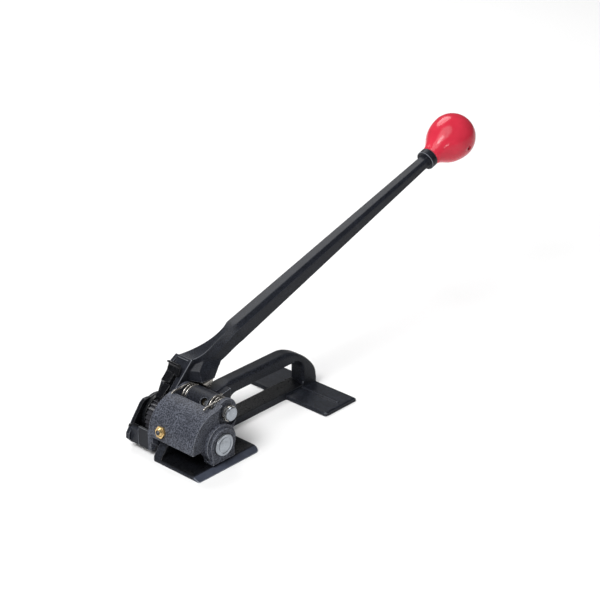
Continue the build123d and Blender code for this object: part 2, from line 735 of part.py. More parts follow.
with BuildPart() as feedwheel:
    with BuildSketch(side(wheel_half)):
        with Locations((0, shaft_z)):
            Circle(wheel_r)
        with Locations((0, shaft_z)):
            with PolarLocations(wheel_r + 0.35, wheel_teeth):
                Rectangle(1.3, 1.3, rotation=45, mode=Mode.SUBTRACT)
        with Locations((0, shaft_z)):
            Circle(shaft_r, mode=Mode.SUBTRACT)
        with Locations((0, shaft_z + shaft_r)):
            Rectangle(key_w, key_h, mode=Mode.SUBTRACT)
    extrude(amount=2 * wheel_half)
save(feedwheel.part, "feedwheel")

with BuildPart() as feedwheel_key:
    with BuildSketch(side(key_l / 2)):
        with Locations((0, shaft_z + shaft_r)):
            Rectangle(key_w, key_h)
    extrude(amount=key_l)
save(feedwheel_key.part, "feedwheel_key")

with BuildPart() as ratchet_wheel:
    with BuildSketch(side(gear_near + gear_t)):
        Polygon(*ratchet_points(gear_r, tooth_depth, gear_teeth), align=None)
        with Locations((0, shaft_z)):
            Circle(gear_seat_r, mode=Mode.SUBTRACT)
        with Locations((0, shaft_z + gear_seat_r)):
            Rectangle(key_w, gear_key_h, mode=Mode.SUBTRACT)
    extrude(amount=gear_t)
save(ratchet_wheel.part, "ratchet_wheel")

with BuildPart() as ratchet_key:
    with BuildSketch(side(gear_near + gear_t - 0.3)):
        with Locations((0, shaft_z + gear_seat_r)):
            Rectangle(key_w, gear_key_h)
    extrude(amount=gear_t - 0.6)
save(ratchet_key.part, "ratchet_key")

with BuildPart() as shaft_washer:
    with BuildSketch(side(shaft_end - 2.1)):
        with Locations((0, shaft_z)):
            Circle(plate_journal_r + 3.6)
            Circle(plate_journal_r + 0.02, mode=Mode.SUBTRACT)
    extrude(amount=1.2)
save(shaft_washer.part, "shaft_washer")

with BuildPart() as shaft_ring:
    with BuildSketch(side(shaft_end - 1.0)):
        with Locations((0, shaft_z)):
            Circle(plate_journal_r + 1.6)
            Circle(plate_journal_r - 0.8, mode=Mode.SUBTRACT)
        with Locations((plate_journal_r, shaft_z - plate_journal_r)):
            Rectangle(6, 7, rotation=45, mode=Mode.SUBTRACT)
    extrude(amount=0.9)
save(shaft_ring.part, "shaft_ring")

# ---------------------------------------------------------------- lever
cheek_gap_near = cheek_near + cheek_t
lever_bush_wall = 2.3
pawl_x = 16.0             # drive pawl's pivot
pawl_z = 66.0
drive_pin_r = 3.0
near_cheek = [(-16.5, 42.5), (29.5, 88.5), (48, 72), (50.5, 64), (49.5, 50), (40, 34), (24, 16), (0, shaft_z)]
outer_cheek = [(-1.5, 47), (2.3, 55.5), (7.2, 65.8), (16.5, 75.5), (21.4, 84), (29.5, 88.5),
               (47, 72), (46, 60), (20, 20), (0, shaft_z)]
hub_edge_r = 24.4
bar_near_end = 84.0
stud_r = 5.0              # threaded stud that carries the knob

# corners of the head's cross-sections as (y, height), starting at the near side's foot
fork_section = [(42.3, -10.5), (43.9, -12.1), (65.4, -12.1), (67, -10.5),
                (67, 10.5), (65.4, 12.1), (46, 12.1), (42.3, 0.5)]
bend_section = [(30, -9), (33, -12), (51, -12), (54, -9),
                (54, 9), (50, 12.2), (35, 12), (30, 3.5)]
neck_section = [(24, -8.5), (27, -11.5), (39.5, -11.5), (42.5, -8.5),
                (42.5, 8.4), (39.5, 11.4), (31, 11.5), (24, 5.5)]
bar_section = [(19.7, -8), (23.7, -12), (37.3, -12), (41.3, -8),
               (41.3, 8), (37.3, 12), (24.7, 12), (19.7, 8)]
shoe_screw_r = 2.0
shoe_seat = Plane(origin=(38, 32, 60.7), x_dir=(1, 0, -0.09), z_dir=(0.09, 0, 1))


def head_plane(x, y, z, direction):
    """Plane across the lever's head at a point, facing along the lever's run there."""
    a = radians(direction)
    return Plane(origin=(x, y, z), x_dir=(0, 1, 0), z_dir=(cos(a), 0, sin(a)))


with BuildPart() as lever:
    # fork cheeks on both sides of the ratchet wheel
    with BuildSketch(side(cheek_near + cheek_t)):
        Polygon(*near_cheek, align=None)
        with Locations((0, shaft_z)):
            Circle(hub_edge_r)
    extrude(amount=cheek_t)
    with BuildSketch(side(outer_near + outer_t)):
        Polygon(*outer_cheek, align=None)
        with Locations((0, shaft_z)):
            Circle(hub_edge_r)
    extrude(amount=outer_t)
    # web that joins the cheeks above the ratchet wheel
    with BuildSketch(side(outer_near + 0.1)):
        Polygon((15.5, 74.5), (29.5, 88.5), (47, 72), (46, 60), (30, 56), align=None)
        with Locations((0, shaft_z)):
            Circle(50, mode=Mode.SUBTRACT)
    extrude(amount=outer_near - cheek_gap_near + 0.2)
    # head, swept across from the fork to the bar
    with BuildSketch(head_plane(35.2, 0, 78.5, 45)):
        Polygon(*fork_section, align=None)
    with BuildSketch(head_plane(52, 0, 86, 38)):
        Polygon(*bend_section, align=None)
    with BuildSketch(head_plane(64, 0, 96, 27)):
        Polygon(*neck_section, align=None)
    with BuildSketch(head_plane(bar_near_end, 0, 107.4, lever_tilt)):
        Polygon(*bar_section, align=None)
    loft()
    # tapered bar
    with BuildSketch(head_plane(bar_near_end, 0, 107.4, lever_tilt)):
        Polygon(*bar_section, align=None)
    with BuildSketch(lever_plane(50)):
        Polygon(*cut_corner_box(14, 12.4, 2.6), align=None)
    loft(ruled=True)
    # heel that reaches down to the frame's leg, its near side falling from the head's near edge
    with BuildSketch(Plane.XY.offset(65.0)):
        Polygon((25, 42.4), (30.6, 28), (47.6, 26), (47.6, 42.4), align=None)
    with BuildSketch(Plane.XY.offset(76.5)):
        Polygon((26, 42.4), (31.6, 33), (54.3, 25.8), (54.3, 42.4), align=None)
    with BuildSketch(Plane.XY.offset(87.0)):
        Polygon((41, 42.4), (43, 36.4), (63, 27), (63, 42.4), align=None)
    loft(ruled=True)
    # collar and stud of the knob
    with BuildSketch(lever_plane(53)):
        Circle(11.9)
    extrude(amount=9)
    with BuildSketch(lever_plane(44.5)):
        Circle(stud_r)
    extrude(amount=34)
    # bores
    with BuildSketch(side(cheek_near + cheek_t + 0.1)):
        with Locations((0, shaft_z)):
            Circle(shaft_r + lever_bush_wall)
    extrude(amount=cheek_t + 0.2, mode=Mode.SUBTRACT)
    with BuildSketch(side(outer_near + outer_t + 0.1)):
        with Locations((0, shaft_z)):
            Circle(outer_journal_r + lever_bush_wall)
    extrude(amount=outer_t + 0.2, mode=Mode.SUBTRACT)
    with BuildSketch(side(outer_near + outer_t + 0.1)):
        with Locations((pawl_x, pawl_z)):
            Circle(drive_pin_r)
    extrude(amount=outer_near + outer_t + 0.1 - cheek_near - 1.5, mode=Mode.SUBTRACT)
    # tapped hole of the lift shoe's screw
    with BuildSketch(shoe_seat):
        Circle(shoe_screw_r)
    extrude(amount=14, mode=Mode.SUBTRACT)
save(lever.part, "lever")

with BuildPart() as lever_bushes:
    with BuildSketch(side(cheek_near + cheek_t)):
        with Locations((0, shaft_z)):
            Circle(shaft_r + lever_bush_wall)
            Circle(shaft_r + run_gap, mode=Mode.SUBTRACT)
    extrude(amount=cheek_t)
    with BuildSketch(side(outer_near + outer_t)):
        with Locations((0, shaft_z)):
            Circle(outer_journal_r + lever_bush_wall)
            Circle(outer_journal_r + run_gap, mode=Mode.SUBTRACT)
    extrude(amount=outer_t)
save(lever_bushes.part, "lever_bushes")

with BuildPart() as lift_shoe:
    with BuildSketch(side(38)):
        Polygon((30.4, 64.2), (45.6, 65.6), (42.6, 57.8), (40.8, 56.6), (38.6, 57.4), align=None)
    extrude(amount=12)
    with BuildSketch(shoe_seat):
        Circle(shoe_screw_r)
    extrude(amount=8, mode=Mode.SUBTRACT)
    with BuildSketch(shoe_seat):
        Circle(3.3)
    extrude(amount=-8, mode=Mode.SUBTRACT)
save(lift_shoe.part, "lift_shoe")

with BuildPart() as lift_shoe_screw:
    with BuildSketch(shoe_seat):
        Circle(3.1)
    extrude(amount=-2.2)
    with BuildSketch(shoe_seat):
        Circle(shoe_screw_r)
    extrude(amount=13)
save(lift_shoe_screw.part, "lift_shoe_screw")

with BuildPart() as drive_pawl_pin:
    with BuildSketch(side(outer_near + outer_t)):
        with Locations((pawl_x, pawl_z)):
            Circle(drive_pin_r)
    extrude(amount=outer_near + outer_t - cheek_near - 1.6)
save(drive_pawl_pin.part, "drive_pawl_pin")

tip_angle = radians(105)
tip_x = (gear_r + 0.35) * cos(tip_angle)
tip_z = shaft_z + (gear_r + 0.35) * sin(tip_angle)
pawl_side = 0.5

with BuildPart() as drive_pawl:
    # hooked body between the cheeks
    with BuildSketch(side(outer_near - 3)):
        with Locations((pawl_x, pawl_z)):
            Circle(6.3)
        Polygon((pawl_x + 3, pawl_z - 5.5), (pawl_x - 3, pawl_z + 5.5), (4, 65.5), (tip_x - 3.4, tip_z + 5),
                (tip_x - 2.2, tip_z + 0.2), (tip_x, tip_z), (tip_x + 3.5, tip_z + 3.2), (5, 54),
                align=None)
        with Locations((0, shaft_z)):
            Circle(gear_r + 0.3, mode=Mode.SUBTRACT)
    extrude(amount=outer_near - 3 - cheek_gap_near - pawl_side)
    # thumb tab in front of the cheeks, with its lip curled forwards
    with BuildSketch(side(outer_near - pawl_side)):
        Polygon((3.5, 65), (12, 71), (13, 75.5), (10.8, 76.5), (1.6, 69), align=None)
    extrude(amount=outer_near - cheek_gap_near - 2 * pawl_side)
    with BuildSketch(side(outer_near + 0.6)):
        Polygon((10.4, 74.4), (12.9, 74.1), (17.2, 82.4), (16.6, 86.4), (13, 87.6), (11.8, 86.4),
                (14, 84.6), (14.2, 82.6), align=None)
    extrude(amount=outer_near + 0.6 - cheek_near - 3)
    with BuildSketch(side(outer_near)):
        with Locations((pawl_x, pawl_z)):
            Circle(drive_pin_r + run_gap)
    extrude(amount=outer_near - cheek_gap_near, mode=Mode.SUBTRACT)
save(drive_pawl.part, "drive_pawl")

pawl_wire_r = 0.45
pawl_wire = coil_wire(pawl_x, pawl_z, 4.3, outer_near - 2.4, outer_near - 0.9, 1.45, 100)

with BuildPart() as drive_pawl_spring:
    with BuildSketch(Plane(origin=pawl_wire @ 0, z_dir=pawl_wire % 0)):
        Circle(pawl_wire_r)
    sweep(path=pawl_wire)
    with BuildSketch(Plane(origin=pawl_wire @ 0, z_dir=-(pawl_wire % 0))):
        Circle(pawl_wire_r)
    extrude(amount=4)
    with BuildSketch(Plane(origin=pawl_wire @ 1, z_dir=pawl_wire % 1)):
        Circle(pawl_wire_r)
    extrude(amount=4)
save(drive_pawl_spring.part, "drive_pawl_spring")

hold_wire_r = 0.4
hold_wire = coil_wire(hold_x, hold_z, 3.3, gear_near + gear_t - 2.6, gear_near + gear_t - 1.1, 1.7, 150)

with BuildPart() as holding_pawl_spring:
    with BuildSketch(Plane(origin=hold_wire @ 0, z_dir=hold_wire % 0)):
        Circle(hold_wire_r)
    sweep(path=hold_wire)
    with BuildSketch(Plane(origin=hold_wire @ 1, z_dir=hold_wire % 1)):
        Circle(hold_wire_r)
    extrude(amount=3)
save(holding_pawl_spring.part, "holding_pawl_spring")

# ---------------------------------------------------------------- knob
lever_dir = (cos(radians(lever_tilt)), 0, sin(radians(lever_tilt)))
knob_plane = Plane(origin=(knob_x, lever_y, knob_z), x_dir=lever_dir, z_dir=(0, -1, 0))
knob_axis = Axis(knob_plane.origin, knob_plane.x_dir)
cross_hole_back = 3.3     # cross hole's distance from the knob's centre, towards the lever
cross_hole_r = 2.4
cross_hole_dip = radians(14)
hole_dir = (sin(radians(lever_tilt)) * sin(cross_hole_dip), -cos(cross_hole_dip),
            -cos(radians(lever_tilt)) * sin(cross_hole_dip))
hole_plane = Plane(origin=along_lever(cross_hole_back), x_dir=lever_dir, z_dir=hole_dir)

with BuildPart() as knob:
    with BuildSketch(knob_plane):
        with BuildLine():
            Line((-43.5, 0), (-43.5, 10.6))
            Line((-43.5, 10.6), (-42.4, 11.7))
            Spline((-42.4, 11.7), (-36, 13.6), (-30.6, 17), (-25, 21), (-16.7, 25.2), (-8.4, 27.5),
                   (0, knob_r), tangents=[(1, 0.1), (1, 0)])
            RadiusArc((0, knob_r), (knob_r, 0), knob_r)
            Line((knob_r, 0), (-43.5, 0))
        make_face()
    revolve(axis=knob_axis)
    with BuildSketch(lever_plane(45)):
        Circle(stud_r)
    extrude(amount=36, mode=Mode.SUBTRACT)
    with BuildSketch(hole_plane):
        Circle(cross_hole_r)
    extrude(amount=40, mode=Mode.SUBTRACT)
save(knob.part, "knob")

with BuildPart() as knob_set_screw:
    with BuildSketch(hole_plane.offset(14)):
        Circle(cross_hole_r)
    extrude(amount=7)
    with BuildSketch(hole_plane.offset(21)):
        RegularPolygon(1.4, 6)
    extrude(amount=-2.5, mode=Mode.SUBTRACT)
save(knob_set_screw.part, "knob_set_screw")
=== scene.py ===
import json
import math

import bmesh
import bpy
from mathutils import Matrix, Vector


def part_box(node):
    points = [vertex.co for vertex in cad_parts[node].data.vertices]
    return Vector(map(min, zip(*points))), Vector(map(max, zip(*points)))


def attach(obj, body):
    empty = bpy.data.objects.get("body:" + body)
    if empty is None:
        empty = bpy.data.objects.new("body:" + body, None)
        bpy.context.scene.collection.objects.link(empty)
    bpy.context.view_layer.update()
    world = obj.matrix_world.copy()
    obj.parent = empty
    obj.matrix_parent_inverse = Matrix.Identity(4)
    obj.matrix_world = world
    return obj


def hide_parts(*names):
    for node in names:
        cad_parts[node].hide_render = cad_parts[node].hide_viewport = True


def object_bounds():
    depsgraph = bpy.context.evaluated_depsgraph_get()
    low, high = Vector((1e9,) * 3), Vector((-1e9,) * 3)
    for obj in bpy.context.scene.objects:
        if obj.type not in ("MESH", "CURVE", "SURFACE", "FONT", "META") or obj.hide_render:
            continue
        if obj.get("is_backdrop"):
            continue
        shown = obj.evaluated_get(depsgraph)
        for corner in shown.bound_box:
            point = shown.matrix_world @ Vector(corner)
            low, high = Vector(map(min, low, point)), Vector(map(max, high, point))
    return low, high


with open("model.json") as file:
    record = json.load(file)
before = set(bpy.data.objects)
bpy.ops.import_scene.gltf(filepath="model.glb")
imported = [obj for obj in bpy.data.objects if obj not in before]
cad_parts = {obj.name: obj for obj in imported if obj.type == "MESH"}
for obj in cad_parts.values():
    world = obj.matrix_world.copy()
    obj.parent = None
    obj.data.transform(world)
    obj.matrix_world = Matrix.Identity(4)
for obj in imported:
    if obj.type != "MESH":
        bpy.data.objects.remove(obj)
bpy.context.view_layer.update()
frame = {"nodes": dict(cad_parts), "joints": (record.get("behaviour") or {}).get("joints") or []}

MM = 0.001
JOINTS = {joint["name"]: joint for joint in frame["joints"]}
SHAFT_AXIS = Vector(JOINTS["shaft_spin"]["pos_m"])
PIN_AXIS = Vector(JOINTS["carrier_lift"]["pos_m"])
LEVER_TILT = math.radians(18.54)
LEVER_RUN = Vector((math.cos(LEVER_TILT), 0, math.sin(LEVER_TILT)))


# ---------------------------------------------------------------- mesh helpers
def new_piece(name, mesh, body, material, node):
    """Adds a mesh as a piece that rides on a body and stands for a CAD node."""
    piece = bpy.data.objects.new(name, mesh)
    bpy.context.scene.collection.objects.link(piece)
    mesh.materials.clear()
    mesh.materials.append(material)
    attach(piece, body)
    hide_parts(node)


def applied(piece):
    """The piece's mesh with its modifiers applied."""
    graph = bpy.context.evaluated_depsgraph_get()
    return bpy.data.meshes.new_from_object(piece.evaluated_get(graph))


def cast_from_cad(node, voxel, smoothing):
    """A softened copy of a CAD node's shape: edges rounded as a casting or a forging has them."""
    source = frame["nodes"][node].data.copy()
    source.materials.clear()
    worker = bpy.data.objects.new("worker", source)
    bpy.context.scene.collection.objects.link(worker)
    remesh = worker.modifiers.new("remesh", "REMESH")
    remesh.mode = "VOXEL"
    remesh.voxel_size = voxel * MM * 1
    remesh.use_smooth_shade = True
    smooth = worker.modifiers.new("smooth", "SMOOTH")
    smooth.factor = 0.5
    smooth.iterations = smoothing
    mesh = applied(worker)
    mesh.name = node
    bpy.data.objects.remove(worker)
    for polygon in mesh.polygons:
        polygon.use_smooth = True
    return mesh


def lathe(name, profile, origin, axis, segments, sharp=35):
    """Turns (distance along the axis, radius) points, in mm, about an axis through origin."""
    axis = Vector(axis).normalized()
    across = axis.orthogonal().normalized()
    up = axis.cross(across)
    builder = bmesh.new()
    rings = []
    for along, radius in profile:
        centre = origin + axis * along * MM
        if radius == 0:
            rings.append([builder.verts.new(centre)])
            continue
        ring = []
        for index in range(segments):
            turn = 2 * math.pi * index / segments
            spoke = across * math.cos(turn) + up * math.sin(turn)
            ring.append(builder.verts.new(centre + spoke * radius * MM))
        rings.append(ring)
    for low, high in zip(rings, rings[1:]):
        for index in range(segments):
            after = (index + 1) % segments
            corners = [low[index % len(low)], low[after % len(low)],
                       high[after % len(high)], high[index % len(high)]]
            unique = list(dict.fromkeys(corners))
            if len(unique) > 2:
                builder.faces.new(unique)
    bmesh.ops.recalc_face_normals(builder, faces=builder.faces)
    return finish_mesh(name, builder, sharp)


def finish_mesh(name, builder, sharp):
    """Turns a bmesh into a smooth-shaded mesh, with edges above the sharp angle kept crisp."""
    mesh = bpy.data.meshes.new(name)
    limit = math.radians(sharp)
    for edge in builder.edges:
        edge.smooth = len(edge.link_faces) == 2 and edge.calc_face_angle(0) < limit
    for face in builder.faces:
        face.smooth = True
    builder.to_mesh(mesh)
    builder.free()
    return mesh


def tube(name, points, radius, sides):
    """A round wire along a line of points, its ends rounded off."""
    end_round = 0.35        # length of the rounding, as a share of the radius
    end_radius = 0.72       # radius of the end faces, as a share of the radius
    tangents = []
    for index, point in enumerate(points):
        before = points[max(index - 1, 0)]
        after = points[min(index + 1, len(points) - 1)]
        tangents.append((after - before).normalized())
    normal = tangents[0].orthogonal().normalized()
    stations = []
    for point, tangent in zip(points, tangents):
        normal = (normal - tangent * normal.dot(tangent)).normalized()
        stations.append((point, tangent, normal.copy()))
    (first, first_run, first_spoke), *inner, (last, last_run, last_spoke) = stations
    cap = radius * end_round
    start = [(first, first_run, first_spoke, radius * end_radius),
             (first + first_run * cap, first_run, first_spoke, radius)]
    middle = [(*station, radius) for station in inner]
    end = [(last - last_run * cap, last_run, last_spoke, radius),
           (last, last_run, last_spoke, radius * end_radius)]
    builder = bmesh.new()
    rings = []
    for point, tangent, spoke, size in start + middle + end:
        other = tangent.cross(spoke)
        ring = []
        for index in range(sides):
            turn = 2 * math.pi * index / sides
            ring.append(builder.verts.new(point + (spoke * math.cos(turn) + other * math.sin(turn)) * size))
        rings.append(ring)
    for low, high in zip(rings, rings[1:]):
        for index in range(sides):
            after = (index + 1) % sides
            builder.faces.new((low[index], low[after], high[after], high[index]))
    builder.faces.new(rings[0][::-1])
    builder.faces.new(rings[-1])
    return finish_mesh(name, builder, sharp=50)


# ---------------------------------------------------------------- materials
class Nodes:
    """Short names for building a node material."""

    def __init__(self, name):
        self.material = bpy.data.materials.new(name)
        self.material.use_nodes = True
        self.tree = self.material.node_tree
        self.shader = self.tree.nodes["Principled BSDF"]
        self.where = self.tree.nodes.new("ShaderNodeTexCoord").outputs["Object"]

    def add(self, kind, **values):
        node = self.tree.nodes.new(kind)
        for key, value in values.items():
            setattr(node, key, value)
        return node

    def link(self, source, target):
        self.tree.links.new(source, target)

    def noise(self, scale, detail, roughness=0.6):
        node = self.add("ShaderNodeTexNoise")
        node.inputs["Scale"].default_value = scale
        node.inputs["Detail"].default_value = detail
        node.inputs["Roughness"].default_value = roughness
        self.link(self.where, node.inputs["Vector"])
        return node.outputs["Fac"]

    def ramp(self, source, stops):
        """A colour ramp; stops are (position, colour) with colour a grey number or three numbers."""
        node = self.add("ShaderNodeValToRGB")
        elements = node.color_ramp.elements
        while len(elements) < len(stops):
            elements.new(0.5)
        for element, (position, colour) in zip(elements, stops):
            element.position = position
            grey = isinstance(colour, (int, float))
            element.color = (colour, colour, colour, 1) if grey else (*colour, 1)
        self.link(source, node.inputs["Fac"])
        return node.outputs["Color"]

    def mix(self, low, high, share):
        """Mixes two colours, each a socket or three numbers, by a socket or a number."""
        node = self.add("ShaderNodeMix", data_type="RGBA")
        for value, target in ((low, node.inputs["A"]), (high, node.inputs["B"]),
                              (share, node.inputs["Factor"])):
            if isinstance(value, bpy.types.NodeSocket):
                self.link(value, target)
            elif isinstance(value, (int, float)):
                target.default_value = value
            else:
                target.default_value = (*value, 1)
        return node.outputs["Result"]

    def curvature(self):
        """The mesh's curvature: about 0.5 on flats, more on raised edges, less in corners."""
        return self.add("ShaderNodeNewGeometry").outputs["Pointiness"]

    def math(self, operation, first, second):
        node = self.add("ShaderNodeMath", operation=operation)
        for value, target in ((first, node.inputs[0]), (second, node.inputs[1])):
            if isinstance(value, bpy.types.NodeSocket):
                self.link(value, target)
            else:
                target.default_value = value
        return node.outputs["Value"]

    def step(self, source, low, high, reverse=False):
        """0 to 1, or 1 to 0, as the source goes from low to high."""
        node = self.add("ShaderNodeMapRange", interpolation_type="SMOOTHSTEP")
        self.link(source, node.inputs["Value"])
        node.inputs["From Min"].default_value = low
        node.inputs["From Max"].default_value = high
        node.inputs["To Min"].default_value = 1.0 if reverse else 0.0
        node.inputs["To Max"].default_value = 0.0 if reverse else 1.0
        return node.outputs["Result"]

    def region(self, box, soft):
        """1 inside a box of two corners in mm, fading to 0 outside it; None leaves a side open."""
        low, high = box
        split = self.add("ShaderNodeSeparateXYZ")
        self.link(self.where, split.inputs["Vector"])
        mask = None
        for axis in range(3):
            for bound, reverse in ((low[axis], False), (high[axis], True)):
                if bound is None:
                    continue
                edge = (bound * MM, (bound + soft) * MM) if reverse else ((bound - soft) * MM, bound * MM)
                part = self.step(split.outputs[axis], *edge, reverse)
                mask = part if mask is None else self.math("MULTIPLY", mask, part)
        return mask

    def near_axis(self, origin, radius, soft):
        """1 within a radius in mm of an axis along Y through origin, fading to 0 outside it."""
        split = self.add("ShaderNodeSeparateXYZ")
        self.link(self.where, split.inputs["Vector"])
        along = self.math("SUBTRACT", split.outputs["X"], origin.x)
        rise = self.math("SUBTRACT", split.outputs["Z"], origin.z)
        squares = self.math("ADD", self.math("MULTIPLY", along, along), self.math("MULTIPLY", rise, rise))
        distance = self.math("POWER", squares, 0.5)
        return self.step(distance, radius * MM, (radius + soft) * MM, reverse=True)

    def bump(self, source, depth, strength, onto=None):
        """A normal with relief of a depth in mm, on top of another normal if one is given."""
        node = self.add("ShaderNodeBump")
        node.inputs["Distance"].default_value = depth * MM
        node.inputs["Strength"].default_value = strength
        self.link(source, node.inputs["Height"])
        if onto:
            self.link(onto, node.inputs["Normal"])
        return node.outputs["Normal"]

    def finish(self, colour, roughness, normal, **plain):
        """Links the shader's inputs and sets its plain values, named as its sockets are."""
        for value, socket in ((colour, "Base Color"), (roughness, "Roughness"), (normal, "Normal")):
            self.link(value, self.shader.inputs[socket])
        for key, value in plain.items():
            socket = key.replace("_", " ").title().replace("Ior", "IOR")
            self.shader.inputs[socket].default_value = value
        return self.material


# blue-blacks of the finish: hollows of the grain, its crests, and the edges' light colour, which is part wear
# rubbed bright and part painted highlight
BLACK_LOW = (0.0035, 0.0042, 0.0065)
BLACK_HIGH = (0.020, 0.023, 0.032)
EDGE = (0.34, 0.36, 0.40)
# the hood is worn paler and coarser than the rest
HOOD_LOW = (0.018, 0.020, 0.027)
HOOD_HIGH = (0.094, 0.102, 0.128)
# the hood's edges' light colour is part wear and part painted highlight
HOOD_EDGE = (0.36, 0.375, 0.40)
# painted shade: the near-black laid on the hood's far end
PAINTED_SHADE_COLOUR = (0.005, 0.006, 0.009)
PAINTED_LIGHT_GAIN = 2.6                 # painted light: how much lighter a lit face is than the grain's crests
CORNER_SHADE = 0.35          # painted shade: how dark inside corners are, beside the hollows of the grain
# grease: film, thicker smear and the crumbs in it, as stops along the crumbs' noise; on the frame the same
# dark stops also serve as painted shade under the hood and the grip's painted shadow on the rail's top
GREASE_AND_SHADE_ON_BLACK = [(0.35, (0.0025, 0.0027, 0.0035)), (0.66, (0.006, 0.0065, 0.008)),
                   (0.8, (0.05, 0.05, 0.058))]
GREASE_ON_STEEL = [(0.35, (0.002, 0.0022, 0.003)), (0.62, (0.007, 0.0075, 0.009)),
                   (0.76, (0.06, 0.06, 0.07))]
STEEL_TOOTH_TIP = (0.10, 0.10, 0.115)
CRUMB_SCALE = 420
CLOUD_SHADE = 0.72          # how dark the duller clouds on bright steel are
HOOD_SHADE_SHARE = 0.95     # how strongly the painted shade darkens the hood's far end
RED_BRIGHT = (0.60, 0.030, 0.058)
RED_DEEP = (0.50, 0.020, 0.042)
BRASS_BRIGHT = (0.78, 0.56, 0.25)
BRASS_DULL = (0.45, 0.30, 0.14)
BLOTCHES = [(0.4, 0.0), (0.7, 1.0)]     # a noise's middle spread to clear patches


def black_metal(name, low, high, edge, grain, grain_depth, gloss, grease_and_shade=None, painted_shade=None, painted_light=None):
    """Blackened metal: blue-grey, finely grained, its edges lighter as wear and as painted highlight, its
    inside corners darkened as painted shade, black where greasy or under painted shade, paler under painted
    light.

    gloss is the roughness of the grain's hollows and crests; the last three give masks of where.
    """
    n = Nodes(name)
    fine = n.noise(grain, detail=3)
    broad = n.noise(60, detail=4)
    speckle = n.ramp(fine, [(0.42, low), (0.58, high)])
    # painted shade laid over the grain's colour where its mask is
    if painted_shade:
        speckle = n.mix(speckle, PAINTED_SHADE_COLOUR, painted_shade(n))
    # painted light: a paler colour laid over the grain where its mask is
    if painted_light:
        speckle = n.mix(speckle, tuple(PAINTED_LIGHT_GAIN * c for c in high), painted_light(n))
    dark_patches = n.ramp(broad, [(0.42, 0.0), (0.75, 0.5)])
    # raised edges lightened: part wear, part painted highlight
    uneven_wear_and_highlight = n.ramp(broad, [(0.3, 0.45), (0.6, 1.0)])
    raised = n.ramp(n.curvature(), [(0.52, 0.0), (0.57, 1.0)])
    # painted shade: inside corners darkened by curvature
    corners = n.ramp(n.curvature(), [(0.43, 1.0), (0.485, 0.0)])
    colour = n.mix(speckle, low, dark_patches)
    colour = n.mix(colour, edge, n.math("MULTIPLY", raised, uneven_wear_and_highlight))
    colour = n.mix(colour, tuple(CORNER_SHADE * c for c in low), corners)
    rough = n.ramp(fine, [(0.3, gloss[0]), (0.7, gloss[1])])
    uneven = n.bump(broad, depth=0.25, strength=0.25)
    normal = n.bump(fine, depth=grain_depth, strength=0.6, onto=uneven)
    # grease film and crumbs; on the frame this mask also lays painted shade under the hood and the grip's
    # painted shadow on the rail's top
    if grease_and_shade:
        crumbs = n.noise(CRUMB_SCALE, detail=5, roughness=0.7)
        grease_and_shade_film = n.ramp(crumbs, GREASE_AND_SHADE_ON_BLACK)
        cover = n.ramp(n.noise(110, detail=4, roughness=0.65), [(0.3, 0.75), (0.5, 1.0)])
        mask = n.math("MULTIPLY", grease_and_shade(n), cover)
        colour = n.mix(colour, grease_and_shade_film, mask)
        rough = n.mix(rough, n.ramp(crumbs, [(0.35, 0.22), (0.7, 0.5)]), mask)
        normal = n.bump(n.math("MULTIPLY", crumbs, mask), depth=0.28, strength=0.8, onto=normal)
    return n.finish(colour, rough, normal, specular_ior_level=0.18)


def greasy_metal(name):
    """Blackened steel under grease: glossy, with crumbs and smears."""
    n = Nodes(name)
    crumbs = n.noise(CRUMB_SCALE, detail=5, roughness=0.7)
    smear = n.noise(90, detail=4)
    raised = n.ramp(n.curvature(), [(0.56, 0.0), (0.66, 1.0)])
    colour = n.mix(n.ramp(crumbs, GREASE_ON_STEEL), STEEL_TOOTH_TIP, n.math("MULTIPLY", raised, 0.5))
    rough = n.ramp(smear, [(0.35, 0.12), (0.7, 0.34)])
    normal = n.bump(crumbs, depth=0.25, strength=0.8)
    return n.finish(colour, rough, normal, specular_ior_level=0.2)


def bright_steel(name, colour, gloss=(0.24, 0.4)):
    """Zinc-plated, drawn or oiled metal with fine marks and duller clouds."""
    n = Nodes(name)
    marks = n.noise(500, detail=4)
    cloud = n.noise(120, detail=3, roughness=0.5)
    dull = tuple(c * CLOUD_SHADE for c in colour)
    tint = n.mix(colour, dull, n.ramp(cloud, BLOTCHES))
    rough = n.ramp(marks, [(0.3, gloss[0]), (0.7, gloss[1])])
    return n.finish(tint, rough, n.bump(marks, depth=0.02, strength=0.5), metallic=0.9)


def brass_metal(name):
    """Turned brass, duller in its marks."""
    n = Nodes(name)
    marks = n.noise(400, detail=4)
    tint = n.mix(BRASS_BRIGHT, BRASS_DULL, n.ramp(marks, [(0.45, 0.0), (0.7, 1.0)]))
    rough = n.ramp(marks, [(0.3, 0.2), (0.7, 0.42)])
    return n.finish(tint, rough, n.bump(marks, depth=0.03, strength=0.5), metallic=0.95)


def red_plastic(name):
    """Glossy moulded plastic, handled: clouded in colour and gloss, and very slightly uneven."""
    n = Nodes(name)
    broad = n.noise(35, detail=3, roughness=0.5)
    fine = n.noise(700, detail=3)
    tint = n.mix(RED_BRIGHT, RED_DEEP, n.ramp(broad, BLOTCHES))
    rough = n.ramp(n.noise(160, detail=4), [(0.35, 0.13), (0.7, 0.24)])
    uneven = n.bump(broad, depth=0.4, strength=0.15)
    normal = n.bump(fine, depth=0.01, strength=0.4, onto=uneven)
    return n.finish(tint, rough, normal, specular_ior_level=0.22, coat_weight=0.1, coat_roughness=0.06)


